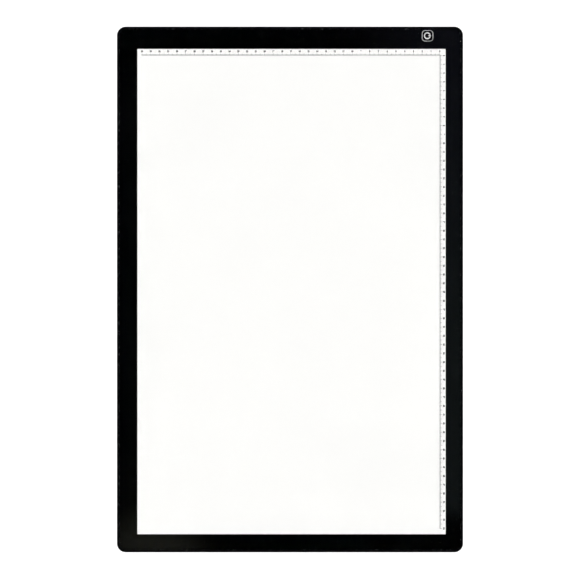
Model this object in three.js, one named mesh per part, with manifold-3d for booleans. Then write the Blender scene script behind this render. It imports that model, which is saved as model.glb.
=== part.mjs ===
// Edge-lit light box (tracing pad), about 395 x 600 mm and 8 mm thick, on silicone feet.
// Millimetres, +Z up through the drawing surface, +Y along the long side towards the touch key.
// The origin is on the desk, under the middle of the pad.
//
// Layers from the desk up: feet, back plate, reflector, light guide with a row of LEDs on each
// long side, opal diffuser, black masking film, clear cover. The frame holds them at the edge.
import * as THREE from "three";
import { mergeVertices } from "three/addons/utils/BufferGeometryUtils.js";
import Module from "manifold-3d";

const wasm = await Module();
wasm.setup();

// ---------- driving dimensions ----------
const body = { width: 395, length: 600, depth: 8, cornerRadius: 10, edgeRadius: 0.6 };
const rimWidth = 2.6; // the frame's wall, seen from above as a thin border round the cover
const footProud = 1.2; // how far the feet lift the body off the desk
const layerGap = 0.1; // air between stacked sheets
const overcut = 1; // how far a cutting shape runs past the face that it cuts
const sunk = 0.2; // how far a joined shape starts inside the one it grows from
const windowMargin = { left: 23.2, right: 19.8, top: 25.4, bottom: 20.6 };

const thickness = {
  plate: 1.8,
  reflector: 0.2,
  guide: 3,
  diffuser: 0.3,
  mask: 0.15,
  tape: 0.25,
  cover: 2,
  ledge: 1.2,
  board: 1,
};

// Distances inwards from the body's outer face to the near face of each piece, or to a screw's middle.
const inset = {
  plate: rimWidth + 0.3,
  cover: rimWidth + 0.2,
  mask: rimWidth + 0.5,
  tape: rimWidth + 0.5,
  screw: 6,
  cornerScrew: 7.4,
  ledge: 8.4,
  rib: 8.8,
  ledBar: 9.8,
  ledStrip: 10.9,
  guide: 12.8,
};

// ---------- heights ----------
const backFace = footProud;
const topFace = backFace + body.depth;
const plateTop = backFace + thickness.plate;
const reflectorLow = plateTop + layerGap;
const guideLow = reflectorLow + thickness.reflector + layerGap;
const diffuserLow = guideLow + thickness.guide + layerGap;
const coverLow = topFace - thickness.cover;
const maskLow = coverLow - layerGap - thickness.mask;
const tapeLow = maskLow - layerGap / 2 - thickness.tape;
const ledgeTop = tapeLow - layerGap / 2;
const ledgeLow = ledgeTop - thickness.ledge;
const bossLow = plateTop + layerGap;
const boardLow = plateTop + 0.4;
const boardTop = boardLow + thickness.board;
const partLow = boardTop + layerGap; // underside of what is soldered to the board

// ---------- places and sizes worked out from the driving dimensions ----------
const halfWidth = body.width / 2;
const halfLength = body.length / 2;
const litWindow = {
  left: -halfWidth + windowMargin.left,
  right: halfWidth - windowMargin.right,
  low: -halfLength + windowMargin.bottom,
  high: halfLength - windowMargin.top,
};
const guideOverlap = 4.6; // the sheets run on under the mask past the window's short ends
const guide = {
  width: body.width - 2 * inset.guide,
  low: litWindow.low - guideOverlap,
  high: litWindow.high + guideOverlap,
};
const strip = { length: 540, high: 3, thickness: 0.8 };
const led = { count: 36, pitch: strip.length / 36, out: 0.8, along: 3.5, high: 2.6 };
const bar = { high: 3.3, thickness: 1 };
const rib = { thickness: 0.8, highAtBar: 1.6, highAtBuffer: 2.8, lengthAtBuffer: 16 };

const touchKey = { x: halfWidth - 39.8, y: halfLength - 10.5 };
const board = { left: 118, right: 172, low: halfLength - 18.5, high: halfLength - 3.3 };
const boardBay = { left: board.left - 3, right: board.right + 3 };
const socket = {
  x: 132,
  width: 8.94,
  height: 3.2,
  length: 7.3,
  wall: 0.3,
  recess: 0.8,
  clearance: 0.3,
};
const socketMouth = halfLength - socket.recess;
const socketRear = socketMouth - socket.length;
const socketMiddle = boardLow + 1.7; // the socket is sunk into a notch in the board
const wing = { out: 1.4, behindRear: 1, length: 1.4, thickness: 0.4 };
const tongue = { rootWidth: 7.2, rootLength: 1.8, rootHigh: 2, width: 6.6, length: 5, high: 0.7 };

const screw = {
  headRadius: 1.9,
  headDepth: 0.9,
  shankRadius: 0.95,
  length: 4.4,
  point: 1,
  recess: { reach: 1.05, width: 0.56, depth: 0.55 },
};
const screwHole = { radius: screw.shankRadius + 0.3, mouthRadius: screw.headRadius + 0.2, slack: 0.15 };
const smallScrew = {
  headRadius: 1.7,
  headTopRadius: 1.5,
  headDepth: 1,
  shankRadius: 0.7,
  point: 0.6,
  tipGap: 0.3,
  recess: { reach: 0.9, width: 0.4, depth: 0.45 },
};
const boss = { radius: 2.4, pilotRadius: 1.1, pilotTop: ledgeTop - 0.6 };
const boardBoss = { radius: 2, pilotRadius: 0.9, pilotLow: backFace + 0.6, top: boardLow - layerGap };
const foot = { radius: 7, recessRadius: 7.3, recessDepth: 0.5, chamfer: 0.4 };
const buffer = { along: 10, across: 2.6, high: 2.8, gap: 0.2 };
const lead = {
  width: 2.6,
  height: 1.2,
  channel: halfLength - 14,
  bendRadius: 5,
  onBoard: 1.6,
  offStrip: 0.2,
  endGap: 0.4,
};
const spring = { turns: 3, wireRadius: 0.25, lowRadius: 3, highRadius: 4.6 };

// ---------- shared shape helpers ----------
const span = (a, b) => [Math.min(a, b), Math.max(a, b)];
const about = (middle, size) => [middle - size / 2, middle + size / 2];
const bothSides = (make) => [make(-1), make(1)];
const at = (geometry, [x, y]) => geometry.clone().translate(x, y, 0);

function roundedRect(width, length, radius) {
  const [w, l] = [width / 2 - radius, length / 2 - radius];
  const shape = new THREE.Shape();
  shape.absarc(w, l, radius, 0, Math.PI / 2);
  shape.absarc(-w, l, radius, Math.PI / 2, Math.PI);
  shape.absarc(-w, -l, radius, Math.PI, 1.5 * Math.PI);
  shape.absarc(w, -l, radius, 1.5 * Math.PI, 2 * Math.PI);
  return shape;
}

// The body's outline, moved inwards, with corners that stay concentric with the outer ones.
function outlineInset(by) {
  return roundedRect(body.width - 2 * by, body.length - 2 * by, body.cornerRadius - by);
}

// A slab between two heights. edge rounds its top and bottom edges without growing it.
function slab(shape, [low, high], { curve = 6, edge = 0, edgeSteps = 1 } = {}) {
  const made = new THREE.ExtrudeGeometry(shape, {
    depth: high - low - 2 * edge,
    curveSegments: curve,
    bevelEnabled: edge > 0,
    bevelThickness: edge,
    bevelSize: edge,
    bevelOffset: -edge,
    bevelSegments: edgeSteps,
  });
  return made.translate(0, 0, low + edge);
}

function box(x, y, z) {
  const made = new THREE.BoxGeometry(x[1] - x[0], y[1] - y[0], z[1] - z[0]);
  return made.translate((x[0] + x[1]) / 2, (y[0] + y[1]) / 2, (z[0] + z[1]) / 2);
}

// A round piece about Z, from a profile of [radius, height] points listed from its low end up.
function turned(profile, segments) {
  const points = profile.map(([radius, height]) => new THREE.Vector2(radius, height));
  return new THREE.LatheGeometry(points, segments).rotateX(Math.PI / 2);
}

function rod(radius, [low, high], segments = 12) {
  return turned([[0, low], [radius, low], [radius, high], [0, high]], segments);
}

// Two crossed bars that cut a screw's recess.
function cross({ reach, width }, heights) {
  return [
    box(about(0, 2 * reach), about(0, width), heights),
    box(about(0, width), about(0, 2 * reach), heights),
  ];
}

function solidOf(geometry) {
  const bare = geometry.clone();
  bare.deleteAttribute("normal");
  bare.deleteAttribute("uv");
  const merged = mergeVertices(bare, 1e-4);
  return new wasm.Manifold(
    new wasm.Mesh({
      numProp: 3,
      vertProperties: merged.attributes.position.array,
      triVerts: new Uint32Array(merged.index.array),
    }),
  );
}

function geometryOf(solid) {
  const mesh = solid.getMesh();
  const made = new THREE.BufferGeometry();
  made.setAttribute("position", new THREE.BufferAttribute(mesh.vertProperties, 3));
  made.setIndex(new THREE.BufferAttribute(mesh.triVerts, 1));
  made.computeVertexNormals();
  return made;
}

// One geometry from a first shape and steps of { join: [...] } or { cut: [...] }, in their order.
function carve(first, ...steps) {
  let solid = solidOf(first);
  for (const { join = [], cut = [] } of steps) {
    for (const geometry of join) solid = solid.add(solidOf(geometry));
    for (const geometry of cut) solid = solid.subtract(solidOf(geometry));
  }
  return geometryOf(solid);
}

// ---------- materials ----------
function finish(color, roughness, metalness = 0, opacity = 1) {
  const transparent = opacity < 1;
  return new THREE.MeshStandardMaterial({ color, roughness, metalness, opacity, transparent });
}

const materials = {
  blackAbs: finish(0x101012, 0.45),
  clearAcrylic: finish(0xf4f8f8, 0.05, 0, 0.25),
  blackFilm: finish(0x060607, 0.3),
  foamTape: finish(0x2a2a2c, 0.9),
  opalFilm: finish(0xfafaf6, 0.6),
  guideAcrylic: finish(0xeaf4f4, 0.08, 0, 0.6),
  whiteFilm: finish(0xf2f2f0, 0.5),
  aluminium: finish(0xb9bcc0, 0.4, 1),
  ledBoard: finish(0xf0eee6, 0.5),
  greenBoard: finish(0x14502e, 0.4),
  chipPlastic: finish(0x17181a, 0.6),
  ceramic: finish(0xa98a66, 0.5),
  ferrite: finish(0x3a3a3e, 0.7),
  springWire: finish(0xc2a060, 0.3, 1),
  platedSteel: finish(0xc4c6c8, 0.25, 1),
  blackSteel: finish(0x1b1b1d, 0.35, 1),
  silicone: finish(0x1c1c1d, 0.85),
  leadPlastic: finish(0xa01a18, 0.5),
};

const pad = new THREE.Group();

function place(name, geometry, material, [x, y] = [0, 0]) {
  const mesh = new THREE.Mesh(geometry, material);
  mesh.name = name;
  mesh.position.set(x, y, 0);
  pad.add(mesh);
}

// ---------- fastener, foot and buffer places ----------
function screwRow(x, y) {
  return bothSides((side) => [side * x, y]);
}

const sideScrew = { x: halfWidth - inset.screw, y: 96 };
const endScrew = { x: 70, y: halfLength - inset.screw };
const cornerScrew = { x: halfWidth - inset.cornerScrew, y: halfLength - inset.cornerScrew };
const screwPlaces = [cornerScrew, sideScrew, endScrew].flatMap(({ x, y }) => [
  ...screwRow(x, y),
  ...screwRow(x, -y),
]);
const footPlaces = [270, 0, -270].flatMap((y) => screwRow(168, y));
const boardScrewPlaces = [board.left + 3, board.right - 3].map((x) => [x, board.high - 3]);
const bufferReach = buffer.gap + buffer.across / 2;
const bufferPlaces = [guide.high + bufferReach, guide.low - bufferReach].flatMap((y) => screwRow(95, y));

// ---------- casing ----------
// The socket's rounded outline, grown by clearance and carried along Y.
function socketBody(clearance, [from, to]) {
  const height = socket.height + 2 * clearance;
  const nearlyHalf = height / 2 - 0.01; // an exact half would leave no straight side to join the arcs
  const shape = roundedRect(socket.width + 2 * clearance, height, nearlyHalf);
  const made = slab(shape, [0, to - from], { curve: 5 }).rotateX(Math.PI / 2);
  return made.translate(socket.x, to, socketMiddle);
}

// Outer wall with a shelf half way up: the cover lies on it, and the screw bosses hang from it.
function frameRing() {
  const wallInside = halfLength - rimWidth;
  const bossBody = rod(boss.radius, [bossLow, ledgeTop]);
  const pilot = rod(boss.pilotRadius, [bossLow - overcut, boss.pilotTop], 8);
  const bay = box(
    [boardBay.left, boardBay.right],
    [halfLength - inset.ledge - overcut, wallInside],
    [backFace, topFace],
  );
  return carve(
    slab(outlineInset(0), [backFace, topFace], { curve: 8, edge: body.edgeRadius, edgeSteps: 2 }),
    {
      cut: [
        slab(outlineInset(rimWidth), [ledgeTop, topFace + overcut], { curve: 8 }),
        slab(outlineInset(rimWidth), [backFace - overcut, ledgeLow], { curve: 8 }),
        slab(outlineInset(inset.ledge), [backFace - overcut, topFace + overcut], { curve: 4 }),
        bay,
        socketBody(socket.clearance, [wallInside - overcut, halfLength + overcut]),
      ],
    },
    { join: screwPlaces.map((spot) => at(bossBody, spot)) },
    { cut: screwPlaces.map((spot) => at(pilot, spot)) },
  );
}

// Long rib beside an LED bar. side is -1 on the left and 1 on the right, here and below.
function sideRib(side) {
  const outer = halfWidth - inset.rib;
  const across = span(side * outer, side * (outer - rib.thickness));
  return box(across, about(0, strip.length), [plateTop - sunk, plateTop + rib.highAtBar]);
}

// Short rib behind a guide buffer.
function bufferRib([x, y]) {
  const outward = Math.sign(y);
  const near = y + outward * (buffer.across / 2 + buffer.gap);
  const across = span(near, near + outward * rib.thickness);
  return box(about(x, rib.lengthAtBuffer), across, [plateTop - sunk, plateTop + rib.highAtBuffer]);
}

// Flat back with ribs that fence the lamps and the sheets, countersunk holes and foot recesses.
function backPlate() {
  const countersink = turned([
    [0, backFace - overcut],
    [screwHole.mouthRadius, backFace - overcut],
    [screwHole.mouthRadius, backFace],
    [screwHole.radius, backFace + screw.headDepth + screwHole.slack],
    [screwHole.radius, plateTop + overcut],
    [0, plateTop + overcut],
  ], 16);
  const recess = rod(foot.recessRadius, [backFace - overcut, backFace + foot.recessDepth], 24);
  const standoff = rod(boardBoss.radius, [plateTop - sunk, boardBoss.top]);
  const standoffPilot = rod(boardBoss.pilotRadius, [boardBoss.pilotLow, boardLow + overcut], 8);
  return carve(
    slab(outlineInset(inset.plate), [backFace, plateTop], { curve: 6 }),
    {
      join: [
        ...bothSides(sideRib),
        ...bufferPlaces.map(bufferRib),
        ...boardScrewPlaces.map((spot) => at(standoff, spot)),
      ],
    },
    {
      cut: [
        ...screwPlaces.map((spot) => at(countersink, spot)),
        ...footPlaces.map((spot) => at(recess, spot)),
        ...boardScrewPlaces.map((spot) => at(standoffPilot, spot)),
      ],
    },
  );
}

function coverPanel() {
  return slab(outlineInset(inset.cover), [coverLow, topFace], { curve: 8, edge: 0.25 });
}

// Black film under the clear cover. It hides the lamps and leaves the lit window open.
function maskFilm() {
  const shape = outlineInset(inset.mask);
  const opening = new THREE.Path();
  opening.moveTo(litWindow.left, litWindow.low);
  opening.lineTo(litWindow.left, litWindow.high);
  opening.lineTo(litWindow.right, litWindow.high);
  opening.lineTo(litWindow.right, litWindow.low);
  shape.holes.push(opening);
  return slab(shape, [maskLow, maskLow + thickness.mask]);
}

// ---------- screws and feet ----------
// Countersunk self-tapping screw with a cross recess, head down and flush with the back.
function countersunkScrew() {
  const shankEnd = backFace + screw.length;
  const shank = turned([
    [0, backFace],
    [screw.headRadius, backFace],
    [screw.shankRadius, backFace + screw.headDepth],
    [screw.shankRadius, shankEnd - screw.point],
    [0, shankEnd],
  ], 12);
  return carve(shank, { cut: cross(screw.recess, [backFace - overcut, backFace + screw.recess.depth]) });
}

// Pan-head screw that holds the circuit board on its standoff.
function boardScrew() {
  const tip = boardBoss.pilotLow + smallScrew.tipGap;
  const headTop = partLow + smallScrew.headDepth;
  const blank = turned([
    [0, tip],
    [smallScrew.shankRadius, tip + smallScrew.point],
    [smallScrew.shankRadius, partLow],
    [smallScrew.headRadius, partLow],
    [smallScrew.headTopRadius, headTop],
    [0, headTop],
  ], 12);
  const { recess } = smallScrew;
  return carve(blank, { cut: cross(recess, [headTop - recess.depth, headTop + overcut]) });
}

function siliconeFoot() {
  const { radius, chamfer, recessDepth } = foot;
  const top = backFace + recessDepth - layerGap;
  return turned([[0, 0], [radius - chamfer, 0], [radius, chamfer], [radius, top], [0, top]], 24);
}

// ---------- light path ----------
// Each sheet covers the lit window and a little more.
function sheet(low, sheetThickness) {
  return box(about(0, guide.width), [guide.low, guide.high], [low, low + sheetThickness]);
}

// Narrow circuit board on edge, with a row of LEDs facing the middle of the pad.
function ledStrip(side) {
  const outer = halfWidth - inset.ledStrip;
  const face = outer - strip.thickness;
  const heights = about(guideLow + strip.high / 2, led.high);
  const across = span(side * (face + sunk), side * (face - led.out));
  const leds = [];
  for (let i = 0; i < led.count; i++) {
    const y = (i - (led.count - 1) / 2) * led.pitch;
    leds.push(box(across, about(y, led.along), heights));
  }
  const base = box(
    span(side * outer, side * face),
    about(0, strip.length),
    [guideLow, guideLow + strip.high],
  );
  return carve(base, { join: leds });
}

// Aluminium bar that the LED strip is stuck to. It spreads the lamps' heat.
function ledBar(side) {
  const outer = halfWidth - inset.ledBar;
  const across = span(side * outer, side * (outer - bar.thickness));
  return box(across, about(0, strip.length), [bossLow, bossLow + bar.high]);
}

// ---------- control board and what is on it ----------
function controlBoard() {
  const blank = box([board.left, board.right], [board.low, board.high], [boardLow, boardTop]);
  const through = [boardLow - overcut, boardTop + overcut];
  const notchWidth = socket.width + 2 * socket.clearance;
  const notchLow = socketRear - socket.clearance;
  const notch = box(about(socket.x, notchWidth), [notchLow, board.high + overcut], through);
  const holeRadius = smallScrew.shankRadius + 0.3;
  const holes = boardScrewPlaces.map((spot) => at(rod(holeRadius, through), spot));
  return carve(blank, { cut: [notch, ...holes] });
}

// A coil that climbs evenly while its radius grows.
class ConicalHelix extends THREE.Curve {
  constructor(turns, [lowRadius, highRadius], [low, high]) {
    super();
    Object.assign(this, { turns, lowRadius, highRadius, low, high });
  }

  getPoint(t, target = new THREE.Vector3()) {
    const angle = 2 * Math.PI * this.turns * t;
    const radius = THREE.MathUtils.lerp(this.lowRadius, this.highRadius, t);
    const height = THREE.MathUtils.lerp(this.low, this.high, t);
    return target.set(radius * Math.cos(angle), radius * Math.sin(angle), height);
  }
}

// Coil under the printed touch key. It carries the finger's charge from the cover to the board.
function touchSpring() {
  const heights = [partLow + spring.wireRadius, maskLow - layerGap - spring.wireRadius];
  const path = new ConicalHelix(spring.turns, [spring.lowRadius, spring.highRadius], heights);
  const section = new THREE.Shape().absarc(0, 0, spring.wireRadius, 0, 2 * Math.PI);
  const stepsPerTurn = 13;
  return new THREE.ExtrudeGeometry(section, {
    steps: spring.turns * stepsPerTurn,
    curveSegments: 6,
    extrudePath: path,
    bevelEnabled: false,
  });
}

// A moulded chip with a row of flat legs on its left and right.
function chip({ across, along, high, legs, legPitch }) {
  const leg = { out: 0.9, width: 0.4, thickness: 0.25, lift: 0.05 };
  const legShapes = [];
  for (let i = 0; i < legs; i++) {
    const y = (i - (legs - 1) / 2) * legPitch;
    for (const side of [-1, 1]) {
      const reach = span(side * (across / 2 - sunk), side * (across / 2 + leg.out));
      legShapes.push(box(reach, about(y, leg.width), [partLow, partLow + leg.thickness]));
    }
  }
  const moulding = box(about(0, across), about(0, along), [partLow + leg.lift, partLow + high]);
  return carve(moulding, { join: legShapes });
}

function block(across, along, high) {
  return box(about(0, across), about(0, along), [partLow, partLow + high]);
}

// Ferrite bobbin: two flanges with the winding between them.
function inductor() {
  const [flangeRadius, woundRadius, flange, high] = [2.6, 2.1, 0.5, 2.1];
  const top = partLow + high;
  return turned([
    [0, partLow],
    [flangeRadius, partLow],
    [flangeRadius, partLow + flange],
    [woundRadius, partLow + flange],
    [woundRadius, top - flange],
    [flangeRadius, top - flange],
    [flangeRadius, top],
    [0, top],
  ], 16);
}

// Drawn steel shell of the power socket, open at the mouth, with a solder wing on each side.
function socketShell() {
  const wingLow = socketRear + wing.behindRear;
  const solderWing = (side) => {
    const flank = socket.width / 2;
    const reach = span(socket.x + side * (flank - sunk), socket.x + side * (flank + wing.out));
    return box(reach, [wingLow, wingLow + wing.length], [partLow, partLow + wing.thickness]);
  };
  return carve(
    socketBody(0, [socketRear, socketMouth]),
    { join: bothSides(solderWing) },
    { cut: [socketBody(-socket.wall, [socketRear + socket.wall, socketMouth + overcut])] },
  );
}

// Moulded block at the back of the socket, with the contact tongue standing out of it.
function socketTongue() {
  const rear = socketRear + socket.wall + layerGap;
  const rootFront = rear + tongue.rootLength;
  const root = box(
    about(socket.x, tongue.rootWidth),
    [rear, rootFront],
    about(socketMiddle, tongue.rootHigh),
  );
  const blade = box(
    about(socket.x, tongue.width),
    [rootFront - sunk, rootFront + tongue.length],
    about(socketMiddle, tongue.high),
  );
  return carve(root, { join: [blade] });
}

// Flat two-core lead from one end of the board, along the top channel and down to an LED strip.
function ledLead(side) {
  const half = lead.width / 2;
  const start = side < 0 ? board.left + lead.onBoard : board.right - lead.onBoard;
  const runX = side * (halfWidth - inset.ledStrip + lead.offStrip);
  const bend = { x: runX - side * lead.bendRadius, y: lead.channel - lead.bendRadius };
  const end = strip.length / 2 + lead.endGap;
  const [up, outward] = [Math.PI / 2, side < 0 ? Math.PI : 0];
  const shape = new THREE.Shape();
  shape.moveTo(start, lead.channel - half);
  shape.lineTo(bend.x, lead.channel - half);
  shape.absarc(bend.x, bend.y, lead.bendRadius - half, up, outward, side > 0);
  shape.lineTo(runX - side * half, end);
  shape.lineTo(runX + side * half, end);
  shape.absarc(bend.x, bend.y, lead.bendRadius + half, outward, up, side < 0);
  shape.lineTo(start, lead.channel + half);
  return slab(shape, [partLow, partLow + lead.height]);
}

// ---------- assembly ----------
place("frame", frameRing(), materials.blackAbs);
place("back_plate", backPlate(), materials.blackAbs);
place("cover_panel", coverPanel(), materials.clearAcrylic);
place("border_mask", maskFilm(), materials.blackFilm);

// The cover's tape lies on the ledge. The end pieces stop short of the side pieces and the board.
function tape(across, along) {
  return box(across, along, [tapeLow, tapeLow + thickness.tape]);
}
function tapeAcross(half, side) {
  return span(side * (half - inset.tape), side * (half - inset.ledge + 0.4));
}
const endTape = halfWidth - inset.ledge - 0.6;
const longTape = about(0, body.length - 2 * body.cornerRadius);
place("cover_tape_left", tape(tapeAcross(halfWidth, -1), longTape), materials.foamTape);
place("cover_tape_right", tape(tapeAcross(halfWidth, 1), longTape), materials.foamTape);
place("cover_tape_top", tape([-endTape, boardBay.left - 2], tapeAcross(halfLength, 1)), materials.foamTape);
place("cover_tape_bottom", tape([-endTape, endTape], tapeAcross(halfLength, -1)), materials.foamTape);

place("diffuser_sheet", sheet(diffuserLow, thickness.diffuser), materials.opalFilm);
place("light_guide_plate", sheet(guideLow, thickness.guide), materials.guideAcrylic);
place("reflector_sheet", sheet(reflectorLow, thickness.reflector), materials.whiteFilm);
for (const [name, side] of [["left", -1], ["right", 1]]) {
  place(`led_bar_${name}`, ledBar(side), materials.aluminium);
  place(`led_strip_${name}`, ledStrip(side), materials.ledBoard);
  place(`led_lead_${name}`, ledLead(side), materials.leadPlastic);
}
bufferPlaces.forEach((spot, i) => {
  const cushion = box(about(0, buffer.along), about(0, buffer.across), [guideLow, guideLow + buffer.high]);
  place(`guide_buffer_${i + 1}`, cushion, materials.silicone, spot);
});

const touchChip = { across: 3.9, along: 4.9, high: 1.5, legs: 4, legPitch: 1.27 };
const driverChip = { across: 1.6, along: 2.9, high: 1.2, legs: 3, legPitch: 0.95 };
const powerRow = board.low + 3; // the power parts stand in a row along the board's inner edge
const touchRow = board.high - 4.2; // the touch chip stands beside the spring
place("control_board", controlBoard(), materials.greenBoard);
place("touch_spring", touchSpring(), materials.springWire, [touchKey.x, touchKey.y]);
place("touch_chip", chip(touchChip), materials.chipPlastic, [147, touchRow]);
place("driver_chip", chip(driverChip), materials.chipPlastic, [127, powerRow]);
place("power_inductor", inductor(), materials.ferrite, [135, powerRow + 1]);
place("input_capacitor", block(3.2, 1.6, 1.5), materials.ceramic, [141.5, powerRow]);
place("output_capacitor", block(3.2, 1.6, 1.5), materials.ceramic, [148, powerRow]);
place("sense_resistor", block(1.6, 3.2, 0.6), materials.chipPlastic, [140, touchRow]);
place("usb_socket", socketShell(), materials.platedSteel);
place("usb_tongue", socketTongue(), materials.chipPlastic);

boardScrewPlaces.forEach((spot, i) => {
  place(`board_screw_${i + 1}`, boardScrew(), materials.platedSteel, spot);
});
screwPlaces.forEach((spot, i) => {
  place(`back_screw_${i + 1}`, countersunkScrew(), materials.blackSteel, spot);
});
footPlaces.forEach((spot, i) => {
  place(`foot_${i + 1}`, siliconeFoot(), materials.silicone, spot);
});

export default pad;
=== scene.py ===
import bmesh
import bpy
import numpy as np
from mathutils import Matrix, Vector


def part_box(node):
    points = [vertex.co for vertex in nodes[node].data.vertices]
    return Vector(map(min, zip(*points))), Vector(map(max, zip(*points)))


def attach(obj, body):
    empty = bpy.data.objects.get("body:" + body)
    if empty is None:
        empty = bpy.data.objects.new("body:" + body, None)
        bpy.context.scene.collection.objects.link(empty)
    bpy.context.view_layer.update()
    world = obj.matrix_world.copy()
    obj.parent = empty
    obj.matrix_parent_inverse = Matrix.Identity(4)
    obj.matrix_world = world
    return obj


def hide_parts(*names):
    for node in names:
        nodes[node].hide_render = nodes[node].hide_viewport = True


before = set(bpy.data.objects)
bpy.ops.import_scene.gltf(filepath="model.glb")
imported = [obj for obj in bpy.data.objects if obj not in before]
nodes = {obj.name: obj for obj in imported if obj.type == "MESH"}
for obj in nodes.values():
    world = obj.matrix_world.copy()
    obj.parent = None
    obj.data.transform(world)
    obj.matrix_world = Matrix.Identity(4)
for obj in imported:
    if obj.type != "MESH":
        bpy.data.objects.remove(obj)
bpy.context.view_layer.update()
mm = 0.001
sunk = 0.2  # how far a joined shape starts inside the one that it grows from
overcut = 1  # how far a cutting shape runs past the face that it cuts
sliver = 0.01  # half-round ends stop this short of half the height, so that their arcs never meet
print("frame loaded with", len(nodes), "nodes")


def linear(code):
    # sRGB hex to linear light: c / 12.92 in the toe, ((c + 0.055) / 1.055) ** 2.4 above it
    value = np.array([int(code[i:i + 2], 16) for i in (0, 2, 4)]) / 255
    light = np.where(value > 0.04045, ((value + 0.055) / 1.055) ** 2.4, value / 12.92)
    return (*light.tolist(), 1.0)


def addNode(tree, kind, inputs=(), **settings):
    # one node with its settings; inputs come by name or in order, as values or other nodes' outputs
    node = tree.nodes.new(f"ShaderNode{kind}")
    for name, value in settings.items():
        setattr(node, name, value)
    for name, value in inputs.items() if isinstance(inputs, dict) else enumerate(inputs):
        if isinstance(value, bpy.types.NodeSocket):
            tree.links.new(value, node.inputs[name])
        else:
            node.inputs[name].default_value = value
    return node


def unit(vectors):
    # v / |v| for each row
    return vectors / np.linalg.norm(vectors, axis=-1, keepdims=True)


def roundCorners(corners, steps=4, closed=True, support=0.04):
    # Each corner (a, b, radius) becomes an arc that touches both of its sides r / tan(half) away,
    # about corner + (u + v) / |u + v| * r / sin(half), with u and v the unit directions of the sides.
    # A support point just past each end of the arc keeps the flats flat when they are shaded.
    corner = np.array(corners, float)
    inner = slice(None) if closed else slice(1, -1)
    point, radius = corner[inner, :2], corner[inner, 2:]
    u = unit(np.roll(corner[:, :2], 1, 0) - corner[:, :2])[inner]
    v = unit(np.roll(corner[:, :2], -1, 0) - corner[:, :2])[inner]
    half = np.arccos((u * v).sum(1, keepdims=True)) / 2
    middle = point + unit(u + v) * radius / np.sin(half)
    first = point + u * radius / np.tan(half)
    last = point + v * radius / np.tan(half)
    turn = (np.pi - 2 * half)[:, None]
    share = np.linspace(0, 1, steps + 1)[None, :, None]
    fromFirst, fromLast = np.sin((1 - share) * turn), np.sin(share * turn)
    arc = fromFirst * (first - middle)[:, None] + fromLast * (last - middle)[:, None]
    arc = middle[:, None] + arc / np.sin(turn)
    before, after = (first + u * support)[:, None], (last + v * support)[:, None]
    rounded = np.concatenate([before, arc, after], 1).reshape(-1, 2)
    return rounded if closed else np.concatenate([corner[:1, :2], rounded, corner[-1:, :2]])


def roundedOutline(width, length, radius, steps=8):
    # rounded rectangle as arc middles (+-(w/2 - r), +-(l/2 - r)) and outward normals (cos a, sin a)
    quarter = np.repeat(np.arange(4), steps + 1)
    angle = (quarter + np.tile(np.linspace(0, 1, steps + 1), 4)) * np.pi / 2
    signs = np.array([[1, 1], [-1, 1], [-1, -1], [1, -1]])[quarter]
    middle = signs * [width / 2 - radius, length / 2 - radius]
    return middle, np.stack([np.cos(angle), np.sin(angle)], 1), radius


def gridSurface(grid, joined=(True, True), paint=0):
    # Quads between neighbours of grid[i, j]. joined says whether each direction closes on itself.
    # An open second direction gets a flat face over each end ring, unless the ring is one point.
    number = np.arange(grid.shape[0] * grid.shape[1]).reshape(grid.shape[:2])
    down, across = np.roll(number, -1, 0), np.roll(number, -1, 1)
    quads = np.stack([number, down, np.roll(down, -1, 1), across], -1)
    quads = quads[: None if joined[0] else -1, : None if joined[1] else -1]
    faces = [quads.reshape(-1, 4)]
    if not joined[1]:
        faces += [number[None, :, end] for end in (0, -1) if np.ptp(grid[:, end], axis=0).max() > 1e-4]
    return grid.reshape(-1, 3), faces, paint


def sweep(outline, profile, paint=0, closed=True):
    # A profile (inset, height) carried round an outline: arc middle + normal * (radius - inset).
    middle, normal, radius = outline
    flat = middle[:, None] + normal[:, None] * (radius - profile[None, :, :1])
    height = np.broadcast_to(profile[:, 1], flat.shape[:2])
    return gridSurface(np.dstack([flat, height]), (True, closed), paint)


def lathe(profile, middle=(0, 0), around=32, paint=0):
    # A profile (radius, height) turned about Z: (r cos a, r sin a, height).
    angle = np.arange(around) * 2 * np.pi / around
    flat = np.stack([np.cos(angle), np.sin(angle)], 1)[:, None] * profile[None, :, :1]
    height = np.broadcast_to(profile[:, 1], flat.shape[:2])
    return gridSurface(np.dstack([flat + np.array(middle)[:2], height]), (True, False), paint)


def tube(path, radius, around=10, paint=0):
    # A circle carried along a path: p + r (cos a * side + sin a * up), side = tangent x Z.
    tangent = unit(np.gradient(path, axis=0))
    side = unit(np.cross(tangent, [0, 0, 1]))
    up = np.cross(side, tangent)
    angle = (np.arange(around) * 2 * np.pi / around)[:, None, None]
    ring = path[None] + radius * (np.cos(angle) * side[None] + np.sin(angle) * up[None])
    return gridSurface(ring, (True, False), paint)


def sheetProfile(inset, low, high, edgeRound, steps, support=0.04):
    # half section of a flat sheet from this far inside the outline inwards, with rounded edges
    return roundCorners([
        (inset + 2 * edgeRound, low, 0), (inset, low, edgeRound),
        (inset, high, edgeRound), (inset + 2 * edgeRound, high, 0),
    ], steps, closed=False, support=support)


def block(first, second, corner, edge, paint=0, steps=2):
    # Box between two opposite corners, with rounded uprights and edges, swept like the body's outline.
    low, high = np.minimum(first, second), np.maximum(first, second)
    size, middle = high - low, (low + high) / 2
    profile = sheetProfile(0, low[2], high[2], edge, steps, edge * 0.2)
    points, faces, _ = sweep(roundedOutline(size[0], size[1], corner, steps), profile, closed=False)
    return points + [middle[0], middle[1], 0], faces, paint


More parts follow.
